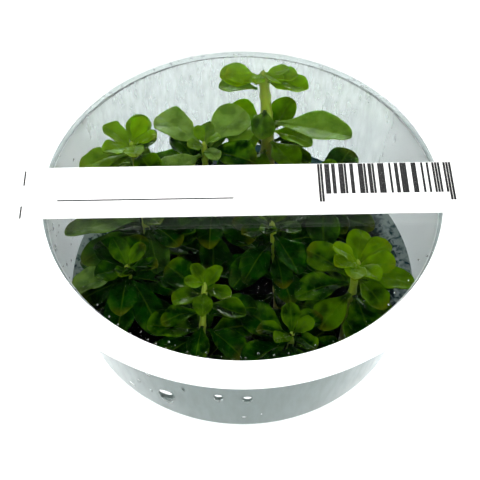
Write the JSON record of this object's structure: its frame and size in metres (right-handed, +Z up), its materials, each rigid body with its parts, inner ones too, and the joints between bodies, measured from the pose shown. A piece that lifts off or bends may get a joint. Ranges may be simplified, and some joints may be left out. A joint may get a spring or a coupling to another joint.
{
  "type": "tissue culture ludwigia plants in a lidded cup",
  "caption": "Young ludwigia shoots with broad green leaves standing in dark gel in a shallow round culture cup under a clear lid.",
  "frame": {"origin": "centre of the cup's flat base, where it stands", "axes": "+Z up out of the cup's mouth; -Y is the front, towards the viewer who reads the strip; +X along the strip to its right end"},
  "size_m": [0.1, 0.1, 0.0386],
  "materials": {
    "milky_plastic": "moulded translucent polypropylene, fogged inside by damp",
    "clear_sheet": "clear smooth sheet",
    "white_plastic": "opaque white, satin",
    "white_paper": "matt white label paper",
    "dark_gel": "wet glossy culture gel, almost black",
    "stem_olive": "soft olive stem and young yellow-green leaves",
    "leaf_green": "soft green leaf, waxy and damp"
  },
  "bodies": {
    "root": {"cup": "milky_plastic", "lid_window": "clear_sheet", "lid_rim": "white_plastic", "label_strip": "white_paper", "growing_medium": "dark_gel", "stem_back": "stem_olive", "stem_back_left": "stem_olive", "stem_back_middle": "stem_olive", "stem_left": "stem_olive", "stem_middle": "stem_olive", "stem_right_back": "stem_olive", "stem_centre": "stem_olive", "stem_right": "stem_olive", "stem_front_left": "stem_olive", "stem_left_front": "stem_olive", "stem_front": "stem_olive", "leaf_back_1": "leaf_green", "leaf_back_2": "leaf_green", "leaf_back_3": "leaf_green", "leaf_back_4": "leaf_green", "leaf_back_left_1": "leaf_green", "leaf_back_left_2": "leaf_green", "leaf_back_left_3": "leaf_green", "leaf_back_left_4": "leaf_green", "leaf_back_middle_1": "leaf_green", "leaf_back_middle_2": "leaf_green", "leaf_back_middle_3": "leaf_green", "leaf_back_middle_4": "leaf_green", "leaf_left_1": "leaf_green", "leaf_left_2": "leaf_green", "leaf_left_3": "leaf_green", "leaf_left_4": "leaf_green", "leaf_middle_1": "leaf_green", "leaf_middle_2": "leaf_green", "leaf_middle_3": "leaf_green", "leaf_middle_4": "leaf_green", "leaf_right_back_1": "leaf_green", "leaf_right_back_2": "leaf_green", "leaf_right_back_3": "leaf_green", "leaf_right_back_4": "leaf_green", "leaf_centre_1": "leaf_green", "leaf_centre_2": "leaf_green", "leaf_centre_3": "leaf_green", "leaf_centre_4": "leaf_green", "leaf_right_1": "leaf_green", "leaf_right_2": "leaf_green", "leaf_right_3": "leaf_green", "leaf_right_4": "leaf_green", "leaf_front_left_1": "leaf_green", "leaf_front_left_2": "leaf_green", "leaf_front_left_3": "leaf_green", "leaf_front_left_4": "leaf_green", "leaf_left_front_1": "leaf_green", "leaf_left_front_2": "leaf_green", "leaf_left_front_3": "leaf_green", "leaf_left_front_4": "leaf_green", "leaf_front_1": "leaf_green", "leaf_front_2": "leaf_green", "leaf_front_3": "leaf_green", "leaf_front_4": "leaf_green"}
  },
  "joints": []
}
